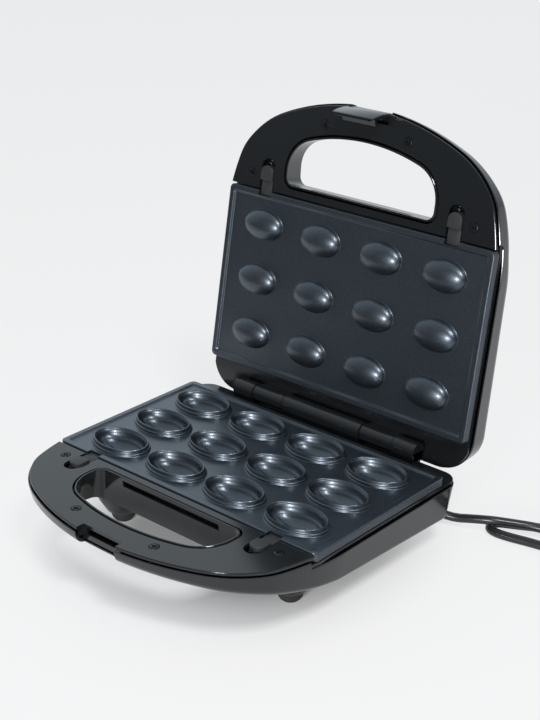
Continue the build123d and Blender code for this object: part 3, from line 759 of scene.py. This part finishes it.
def bowl_drop(u, v):
    """Depth of the bowl as a share, from places counted in half axes. A crease
    runs along the middle with a fold on each side, and a ledge round the back."""
    reach = min(math.hypot(u, v), 1.0)
    depth = 0.97 * math.sqrt(max(1 - reach ** 2.1, 0.0))
    crease = 0.075 * math.exp(-(v / 0.07) ** 2) * max(1 - reach ** 2, 0.0)
    fold = 0.03 * (math.exp(-((abs(v) - 0.42) / 0.10) ** 2)) * max(1 - reach ** 2, 0.0)
    ledge = 0.045 * math.exp(-((reach - 0.84) / 0.05) ** 2) * min(max(3 * v + 0.3, 0.0), 1.0)
    return depth - crease + fold - ledge


def cup_sections(cx, cy, cell):
    """Rings from the cell's edge over the rim down to the bowl's bottom."""
    top = -3.2
    sections = [flat(cell_outline(*cell), FIELD_DROP)]
    shape = ((24.2, 16.8, FIELD_DROP), (23.9, 16.5, FIELD_DROP), (23.65, 16.25, 1.15), (23.5, 16.1, 0.8),
             (23.4, 16.0, -0.2), (23.25, 15.85, -0.5), (22.95, 15.55, -0.65), (22.6, 15.2, -0.75),
             (22.45, 15.05, -1.1), (22.35, 14.95, -2.6), (22.25, 14.85, -2.95), (22.0, 14.6, top),
             (21.6, 14.2, top), (21.35, 13.95, -3.0), (21.2, 13.8, -2.6), (20.8, 13.4, -1.9), (20.4, 13.0, -1.5))
    for half_x, half_y, drop in shape:
        sections.append(flat(ellipse(cx, cy, half_x, half_y), drop))
    depth = 11.0
    for share in (0.985, 0.96, 0.92, 0.89, 0.86, 0.83, 0.8, 0.76, 0.72, 0.63, 0.54, 0.45, 0.36, 0.27, 0.18, 0.1, 0.04):
        ring = []
        for x, y in ellipse(0, 0, share, share):
            drop = -1.5 + depth * bowl_drop(x, y)
            ring.append(Vector((cx + 20.4 * x, cy + 13.0 * y, level(drop))))
        sections.append(ring)
    return sections


def dome_sections(cx, cy, cell):
    sections = [flat(cell_outline(*cell), FIELD_DROP)]
    sections.append(flat(ellipse(cx, cy, 18.6, 12.2), FIELD_DROP))
    sections.append(flat(ellipse(cx, cy, 17.9, 11.5), FIELD_DROP - 0.05))
    sections.append(flat(ellipse(cx, cy, 17.6, 11.2), FIELD_DROP - 0.35))
    for step in range(1, 17):
        angle = math.radians(86.0 * step / 16)
        share = math.cos(angle)
        rise = 0.35 + 7.2 * math.sin(angle)
        sections.append(flat(ellipse(cx, cy, 17.5 * share, 11.1 * share), FIELD_DROP - rise))
    return sections


def plate(name, sections_of, body, node, in_lid):
    bm = bmesh.new()
    for cx, cy, cell in cells():
        loft(bm, sections_of(cx, cy, cell), first="open")
    bmesh.ops.remove_doubles(bm, verts=bm.verts, dist=1e-3)
    bmesh.ops.recalc_face_normals(bm, faces=bm.faces)
    up = sum(1 if f.normal.z > 0 else -1 for f in bm.faces)
    if up < 0:
        bmesh.ops.reverse_faces(bm, faces=bm.faces)
    bmesh.ops.solidify(bm, geom=bm.faces, thickness=1.2)
    steps = 8
    frame_rings = []
    for inset, drop in ((0.9, 6.5), (0.25, 6.35), (0.0, 6.0), (0.0, 5.2), (0.25, 5.0), (0.25, 4.6), (0.0, 4.4),
                        (0.0, 3.6), (0.25, 3.4), (0.25, 3.0), (0.0, 2.8), (0.0, 2.0), (0.25, 1.8), (0.25, 1.5),
                        (0.0, 1.3), (0.0, 0.7), (0.2, 0.2), (0.7, 0.0), (3.7, 0.0), (4.2, 0.2), (4.9, 1.1),
                        (5.6, 1.32), (5.6, 2.6), (2.4, 3.4), (2.4, 6.3)):
        radius = max(3.5 - inset * 0.5, 1.0)
        frame_rings.append(flat(rounded_rectangle(PLATE_X - 2 * inset, PLATE_Y - 2 * inset, radius, steps), drop))
    rim = bmesh.new()
    loft(rim, frame_rings, first="join")
    for x in (-LATCH_X, LATCH_X):
        tool = bmesh.new()
        add_box(tool, (x - 5.6, x + 5.6), (-70, -61.6), (-5, 3.5))
        rim = boolean(rim, tool)
    join_in(bm, rim)
    return finish_piece(bm, name, body, [node], material(nonstick), in_lid, smooth=40.0)


# Small pieces.

def latch(name, x, body, node, in_lid):
    bm = bmesh.new()
    centre = LATCH_END_Y + 6.0

    def pad_ring(radius, front, drop):
        points = [(x + radius, front), (x - radius, front)]
        for step in range(25):
            angle = math.radians(180 + 180 * step / 24)
            points.append((x + radius * math.cos(angle), centre + radius * math.sin(angle)))
        return flat(points, drop)
    loft(bm, [pad_ring(5.9, -67.1, 6.5), pad_ring(5.9, -67.1, 3.7), pad_ring(5.6, -67.4, 3.4)])
    loft(bm, [
        pad_ring(5.5, -73.0, 3.5), pad_ring(5.5, -73.0, -0.2),
        pad_ring(5.3, -73.2, -0.5), pad_ring(4.9, -73.6, -0.6)])
    tongue = bmesh.new()
    add_box(tongue, (x - 5.0, x + 5.0), (-73.2, -61.9), (1.4, 3.45))
    soften(tongue, 0.4, 2)
    for step in range(3):
        add_box(tongue, (x - 3.4, x + 3.4), (-82.2 + 2.4 * step, -81.2 + 2.4 * step), (-0.58, 0.3))
    join_in(bm, tongue)
    return finish_piece(bm, name, body, [node], material(matte_black), in_lid)


def screws(name, body, node, in_lid):
    bm = bmesh.new()
    for x, y in SCREWS:
        head = bmesh.new()
        rings = []
        for radius, drop in ((3.25, 2.0), (3.3, 1.5), (3.1, 1.0), (2.5, 0.75), (1.2, 0.7)):
            turns = [math.radians(10 * k) for k in range(36)]
            rings.append(flat([(x + radius * math.cos(a), y + radius * math.sin(a)) for a in turns], drop))
        loft(head, rings)
        for long, wide in ((2.1, 0.45), (0.45, 2.1)):
            tool = bmesh.new()
            add_box(tool, (x - long, x + long), (y - wide, y + wide), (0.0, 1.7))
            head = boolean(head, tool)
        add_rod(head, (x, y, level(9.5)), (x, y, level(1.9)), 1.4, 24)
        join_in(bm, head)
    return finish_piece(bm, name, body, [node], material(dark_steel), in_lid)


def clip():
    """Bent clip on the lid's front, seen from the side and drawn out along X."""
    outer = []
    for step in range(17):
        t = step / 16
        y = -136.0 * (1 - t) ** 2 + 2 * t * (1 - t) * -138.1 + -132.9 * t ** 2
        rise = -9.5 + 26.5 * t
        outer.append((y, rise))
    inner = [
        (-130.7, 16.8), (-132.3, 10.2), (-127.5, 8.2), (-127.5, 7.0),
        (-132.6, 6.2), (-133.9, -1.0), (-133.2, -9.3)]
    face = [(y, -rise) for y, rise in outer + inner]
    bm = bmesh.new()
    loft(bm, [[Vector((x, y, level(drop))) for y, drop in face] for x in (-CLIP_X, CLIP_X)])
    outward(bm)
    bm = soften(bm, 0.5, 2)
    for side in (-1, 1):
        x0, x1 = sorted((side * NOSE_X, side * 20.0))
        tool = bmesh.new()
        add_box(tool, (x0, x1), (-132.35, -120.0), (-30.0, 0.0))
        bm = boolean(bm, tool)
    pin = level(CLIP_PIN_DROP)
    add_rod(bm, (-15.9, CLIP_PIN_Y, pin), (15.9, CLIP_PIN_Y, pin), 2.95)
    return finish_piece(bm, "lid_clip_look", "clip", ["lid_clip"], material(gloss_black), True)


def feet(leg_places):
    bm = bmesh.new()
    profile = [
        (4.0, 15.4), (4.0, 9.5), (8.6, 9.45), (8.8, 9.2), (8.8, 7.0),
        (8.6, 5.2), (8.0, 3.4), (7.0, 1.8), (5.8, 0.7), (4.4, 0.05)]
    for x, y, _ in leg_places:
        rings = []
        for radius, z in profile:
            ring = []
            for k in range(48):
                angle = math.radians(7.5 * k)
                ring.append(Vector((x + radius * math.cos(angle), y + radius * math.sin(angle), z)))
            rings.append(ring)
        loft(bm, rings)
    return finish_piece(bm, "rubber_feet_look", "base", ["rubber_feet"], material(foot_rubber))


LEGS = [(-77.0, -44.0, 17.5), (77.0, -44.0, 17.5), (-77.0, 64.0, 12.0), (77.0, 64.0, 12.0)]


# Pieces that stay as the frame has them.

KEPT = {
    matte_black: ("cord_gland", "cord_tie", "plug_body"),
    steel: ("hinge_pins", "base_reflector_screws", "lid_reflector_screws"),
    dark_steel: (
        "clip_pin", "lower_heating_element", "upper_heating_element",
        "lower_latch_springs", "upper_latch_springs"),
    bright_sheet: ("lower_reflector", "upper_reflector", "lower_element_brackets", "upper_element_brackets"),
    sensor: ("lower_thermostat", "upper_thermostat", "lower_thermal_fuse"),
    white_plastic: ("terminal_block", "lamp_holder", "heater_leads"),
    red_lens: ("power_lamp_lens",),
    green_lens: ("ready_lamp_lens",),
    brass: ("plug_blades",),
}


def dress_kept():
    for maker, names in KEPT.items():
        for name in names:
            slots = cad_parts[name].data.materials
            slots.clear()
            slots.append(material(maker))


# Lead.

COIL_RADIUS = 37.0
COIL_PITCH = 6.9
COIL_CLIMB = 6.9
COIL_TAIL = 30.0
COIL_LAY = 4.2


def free_route():
    """Corners of the free stretch, from inside the strain relief to the coil."""
    lay = CORD_RADIUS
    exit_point = Vector((68.0, 78.0, 27.0))
    touch_down = Vector((87.5, 96.5, lay + 0.1))
    start = exit_point - (touch_down - exit_point).normalized() * 8.0
    corners = [
        start, touch_down, (123.2, 105.6, 10.6), (136.6, 116.6, 8.0), (152.9, 126.4, 6.5),
        (188.5, 136.5, lay), (230.0, 131.0, lay), (267.5, 130.2, lay), (288.0, 150.5, lay),
        (288.0, 179.5, lay), (267.5, 200.0, lay), (238.5, 200.0, lay), (216.0, 176.0, lay),
        (190.0, 152.0, lay), (151.8, 132.5, lay), (132.9, 122.4, lay), (123.4, 117.7, lay),
        (122.1, 111.2, lay), (126.3, 106.0, lay), (138.0, 106.1, lay), (158.0, 111.0, lay),
        (196.0, 116.5, lay), (226.0, 118.6, lay), (251.9, 118.5, 3.6), (272.2, 106.7, COIL_LAY),
        (284.0, 86.4, COIL_LAY), (284.0, 66.4, COIL_LAY)]
    return [Vector(corner) for corner in corners]


def coil_route(before, start):
    """Corners round a flat turn, a half turn that climbs on it and a half turn
    on top, twelve to a turn, and the tail to the plug."""
    way = (start - before).normalized()
    side = Vector((way.y, -way.x, 0.0))
    here = start + way * 2 * CORD_RADIUS
    corners = []
    half = math.radians(15.0)
    middle = COIL_RADIUS - COIL_PITCH / 2
    radii = (COIL_RADIUS, middle, COIL_RADIUS - COIL_PITCH, middle)
    for layer, radius in enumerate(radii):
        centre = here + side * radius
        for step in range(6):
            angle = half + math.radians(30.0) * step
            reach = radius / math.cos(half)
            corner = centre - side * reach * math.cos(angle) + way * reach * math.sin(angle)
            if layer == 2:
                share = angle / math.pi
                corner.z += COIL_CLIMB * (3 * share ** 2 - 2 * share ** 3)
            corners.append(corner)
        here = here + side * 2 * radius
        if layer == 2:
            here.z += COIL_CLIMB
        way, side = -way, -side
    corners.append(here + way * COIL_RADIUS * math.tan(half))
    corners.append(here + way * COIL_TAIL)
    return corners


def lead():
    corners = free_route()
    coil = coil_route(corners[-2], corners[-1])
    corners = corners[:-1] + coil
    curve = bpy.data.curves.new("mains_lead", "CURVE")
    curve.dimensions = "3D"
    curve.bevel_depth = CORD_RADIUS * MM
    curve.bevel_resolution = 6
    curve.use_fill_caps = True
    curve.resolution_u = 8
    spline = curve.splines.new("NURBS")
    spline.points.add(len(corners) - 1)
    for target, place in zip(spline.points, corners):
        target.co = (*(place * MM), 1.0)
    spline.order_u = 3
    spline.use_endpoint_u = True
    curve.materials.append(material(cord_black))
    cord = bpy.data.objects.new("mains_lead", curve)
    bpy.context.scene.collection.objects.link(cord)
    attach(cord, "base")
    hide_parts("power_cord", "cord_coil")
    return cord


# Stage.

CAMERA_PLACE = Vector((0.6051, -0.6470, 0.5173))
CAMERA_AIM = Vector((-0.0969, 0.1306, 0.0570))
CAMERA_ROLL = math.radians(-0.345)
CAMERA_LENS = 74.38
PAPER = 0.90
PAPER_SHARE = 0.85


def camera():
    scene = bpy.context.scene
    data = bpy.data.cameras.new("camera")
    data.sensor_fit = "VERTICAL"
    data.sensor_height = 36.0
    data.lens = CAMERA_LENS
    data.clip_end = 100.0
    view = bpy.data.objects.new("camera", data)
    scene.collection.objects.link(view)
    turn = (CAMERA_PLACE - CAMERA_AIM).to_track_quat("Z", "Y").to_matrix().to_4x4()
    view.matrix_world = Matrix.Translation(CAMERA_PLACE) @ turn @ Matrix.Rotation(CAMERA_ROLL, 4, "Z")
    scene.camera = view
    scene.view_settings.view_transform = "Standard"


def area_light(name, place, aim, size, power, colour=(1.0, 1.0, 1.0)):
    data = bpy.data.lights.new(name, "AREA")
    data.shape = "RECTANGLE"
    data.size, data.size_y = size
    data.energy = power
    data.color = colour
    lamp = bpy.data.objects.new(name, data)
    place = Vector(place)
    turn = (place - Vector(aim)).to_track_quat("Z", "Y").to_matrix().to_4x4()
    lamp.matrix_world = Matrix.Translation(place) @ turn
    bpy.context.scene.collection.objects.link(lamp)
    return lamp


def lights():
    area_light("key", (1.1, -0.5, 1.7), (0.0, 0.0, 0.05), (0.45, 0.45), 26.0)
    area_light("front", (0.60, -1.45, 0.44), (0.0, 0.1, 0.15), (0.25, 0.25), 20.0)


def surroundings():
    """A dim room with a bright window at the back on the left."""
    world = bpy.data.worlds.new("room")
    bpy.context.scene.world = world
    world.use_nodes = True
    tree = world.node_tree
    tree.nodes.clear()
    out = tree.nodes.new("ShaderNodeOutputWorld")
    room = tree.nodes.new("ShaderNodeBackground")
    room.inputs["Color"].default_value = (0.725, 0.810, 0.865, 1.0)
    place = tree.nodes.new("ShaderNodeTexCoord")
    toward = tree.nodes.new("ShaderNodeVectorMath")
    toward.operation = "DOT_PRODUCT"
    toward.inputs[1].default_value = (-0.72, 0.50, 0.48)
    tree.links.new(place.outputs["Generated"], toward.inputs[0])
    share = tree.nodes.new("ShaderNodeMapRange")
    share.inputs["From Min"].default_value = 0.0
    share.inputs["From Max"].default_value = 0.97
    share.inputs["To Min"].default_value = 0.12
    share.inputs["To Max"].default_value = 1.2
    tree.links.new(toward.outputs["Value"], share.inputs["Value"])
    tree.links.new(share.outputs["Result"], room.inputs["Strength"])
    tree.links.new(room.outputs["Background"], out.inputs["Surface"])


def floor():
    """Sheet of paper. What mirrors it sees it dimmed, and forward of the middle, from 0.25 m to 0.45 m out, mirrors
    see it turn into a painted dark reflection instead of paper.
    """
    bm = bmesh.new()
    bmesh.ops.create_grid(bm, x_segments=1, y_segments=1, size=12.0)
    mesh = bpy.data.meshes.new("paper")
    bm.to_mesh(mesh)
    bm.free()
    sheet = bpy.data.objects.new("paper", mesh)
    sheet.location = (0.0, 0.0, -0.0004)
    bpy.context.scene.collection.objects.link(sheet)
    surface = Surface("paper", (0.80, 0.80, 0.80), 0.9)
    surface.set("Specular IOR Level", 0.0)
    tree = surface.tree
    glow = surface.node("ShaderNodeEmission", Color=(PAPER, PAPER, PAPER * 1.005, 1.0), Strength=1.0)
    path = surface.node("ShaderNodeLightPath")
    place = surface.node("ShaderNodeTexCoord").outputs["Object"]
    apart = surface.node("ShaderNodeSeparateXYZ", [("Vector", place)])
    edge = surface.node("ShaderNodeMapRange", [("Value", apart.outputs["Y"])], **{
        "From Min": -0.45, "From Max": -0.25, "To Min": 0.0, "To Max": 1.0})
    mirrored = Value(tree, path.outputs["Is Glossy Ray"]) + Value(tree, path.outputs["Is Transmission Ray"])
    near = Value(tree, edge.outputs["Result"])
    spread = surface.node("ShaderNodeVectorMath", [(0, place)], operation="MULTIPLY")
    spread.inputs[1].default_value = (1 / 0.125, 1 / 0.135, 0.0)
    reach = surface.node("ShaderNodeVectorMath", [(0, spread.outputs[0])], operation="LENGTH")
    under = surface.node("ShaderNodeMapRange", [("Value", reach.outputs["Value"])], **{
        "From Min": 0.6, "From Max": 1.15, "To Min": 0.05, "To Max": 1.0})
    around = surface.node("ShaderNodeMapRange", [("Value", reach.outputs["Value"])], **{
        "From Min": 0.6, "From Max": 2.0, "To Min": 0.15, "To Max": 0.55})
    straight = Value(tree, path.outputs["Is Camera Ray"]) * Value(tree, under.outputs["Result"])
    seen = (straight + mirrored * near * Value(tree, around.outputs["Result"])) * PAPER_SHARE
    # Painted reflection: a flat dark glow that only mirrored rays see in front of the object, darkening what the
    # plates and shells reflect from there.
    painted_dark_reflection = surface.node("ShaderNodeEmission", Color=(0.05, 0.05, 0.052, 1.0), Strength=1.0)
    lit = surface.node("ShaderNodeMixShader", [
        ("Fac", seen), (1, surface.shader.outputs[0]), (2, glow.outputs[0])])
    dark = mirrored.math("MULTIPLY", 1.0 - near, clamp=True)
    out = surface.node("ShaderNodeMixShader", [("Fac", dark), (1, lit.outputs[0]), (2, painted_dark_reflection.outputs[0])])
    tree.links.new(out.outputs[0], tree.nodes["Material Output"].inputs["Surface"])
    mesh.materials.append(surface.material)


# Add-on.

BASE_WEBS = [(-82.5, -64.0), (-35.0, 35.0), (64.0, 82.5)]
LID_WEBS = [(-63.2, -36.0), (36.0, 63.2)]
BASE_WEB_FACE = [(74.6, -0.8), (85.8, -0.8), (81.4, 10.0), (80.5, 16.0), (78.0, 16.0), (74.6, 10.0)]
LID_WEB_FACE = [(74.6, -1.6), (85.8, -1.6), (86.8, 9.0), (85.5, 18.0), (78.0, 18.0), (74.6, 10.0)]


class SnackStage(bpy.types.PropertyGroup):
    with_floor: bpy.props.BoolProperty(
        name="Paper", description="Put a sheet of white paper under the object", default=True)


class SnackHousing(bpy.types.PropertyGroup):
    base_round: bpy.props.FloatProperty(
        name="Base edge", description="Rounding of the base's lower edge", default=3.5, min=0.5, max=8.0)
    lid_round: bpy.props.FloatProperty(
        name="Lid edge", description="Rounding of the lid's top edge", default=11.5, min=2.0, max=14.0)


class SNACK_OT_camera(bpy.types.Operator):
    """Place the camera"""

    bl_idname = "snack.camera"
    bl_label = "Camera"

    def execute(self, context):
        camera()
        return {"FINISHED"}


class SNACK_OT_lead(bpy.types.Operator):
    """Lay the mains lead"""

    bl_idname = "snack.lead"
    bl_label = "Lead"

    def execute(self, context):
        lead()
        return {"FINISHED"}


class SNACK_OT_housings(bpy.types.Operator):
    """Make both housing halves and their decks"""

    bl_idname = "snack.housings"
    bl_label = "Housings"

    def execute(self, context):
        settings = context.scene.snack_housing
        housing("base_shell_look", BASE_PLAN, BASE_DEPTH, settings.base_round, 6.0, BASE_CATCH_Y, BASE_WEBS,
                BASE_WEB_FACE, 0.8, "base", "base_shell", False, LEGS)
        housing("lid_shell_look", LID_PLAN, LID_DEPTH, settings.lid_round, 6.0, LID_CATCH_Y, LID_WEBS,
                LID_WEB_FACE, 1.6, "lid", "lid_shell", True)
        deck("base_deck_look", BASE_PLAN, BASE_CATCH_Y, "base", "base_deck", False)
        deck("lid_deck_look", LID_PLAN, LID_CATCH_Y, "lid", "lid_deck", True)
        return {"FINISHED"}


class SNACK_OT_plates(bpy.types.Operator):
    """Make the cup plate and the domed plate"""

    bl_idname = "snack.plates"
    bl_label = "Plates"

    def execute(self, context):
        plate("lower_plate_look", cup_sections, "base", "lower_plate", False)
        plate("upper_plate_look", dome_sections, "lid", "upper_plate", True)
        return {"FINISHED"}


class SNACK_OT_fittings(bpy.types.Operator):
    """Make the latches, the screws, the clip and the feet, and dress the rest"""

    bl_idname = "snack.fittings"
    bl_label = "Fittings"

    def execute(self, context):
        for side, x in (("left", -LATCH_X), ("right", LATCH_X)):
            for half, in_lid in (("lower", False), ("upper", True)):
                node = half + "_latch_" + side
                latch(node + "_look", x, node, node, in_lid)
        screws("base_deck_screws_look", "base", "base_deck_screws", False)
        screws("lid_deck_screws_look", "lid", "lid_deck_screws", True)
        clip()
        feet(LEGS)
        dress_kept()
        return {"FINISHED"}


class SNACK_OT_stage(bpy.types.Operator):
    """Set up the paper, the room and the lights"""

    bl_idname = "snack.stage"
    bl_label = "Stage"

    def execute(self, context):
        if context.scene.snack_stage.with_floor:
            floor()
        surroundings()
        lights()
        return {"FINISHED"}


class SNACK_PT_panel(bpy.types.Panel):
    bl_label = "Snack maker"
    bl_idname = "SNACK_PT_panel"
    bl_space_type = "VIEW_3D"
    bl_region_type = "UI"
    bl_category = "Snack maker"

    def draw(self, context):
        layout = self.layout
        layout.prop(context.scene.snack_stage, "with_floor")
        layout.prop(context.scene.snack_housing, "base_round")
        layout.prop(context.scene.snack_housing, "lid_round")
        for operator in OPERATORS:
            layout.operator(operator.bl_idname)


OPERATORS = (
    SNACK_OT_camera, SNACK_OT_lead, SNACK_OT_housings, SNACK_OT_plates, SNACK_OT_fittings, SNACK_OT_stage)
GROUPS = (SnackStage, SnackHousing)


def register():
    for group in GROUPS:
        bpy.utils.register_class(group)
    for operator in OPERATORS:
        bpy.utils.register_class(operator)
    bpy.utils.register_class(SNACK_PT_panel)
    bpy.types.Scene.snack_stage = bpy.props.PointerProperty(type=SnackStage)
    bpy.types.Scene.snack_housing = bpy.props.PointerProperty(type=SnackHousing)


def unregister():
    del bpy.types.Scene.snack_stage
    del bpy.types.Scene.snack_housing
    bpy.utils.unregister_class(SNACK_PT_panel)
    for operator in reversed(OPERATORS):
        bpy.utils.unregister_class(operator)
    for group in reversed(GROUPS):
        bpy.utils.unregister_class(group)


def main():
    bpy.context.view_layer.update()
    register()
    bpy.ops.snack.camera()
    bpy.ops.snack.lead()
    bpy.ops.snack.housings()
    bpy.ops.snack.plates()
    bpy.ops.snack.fittings()
    bpy.ops.snack.stage()


if __name__ == "__main__":
    main()
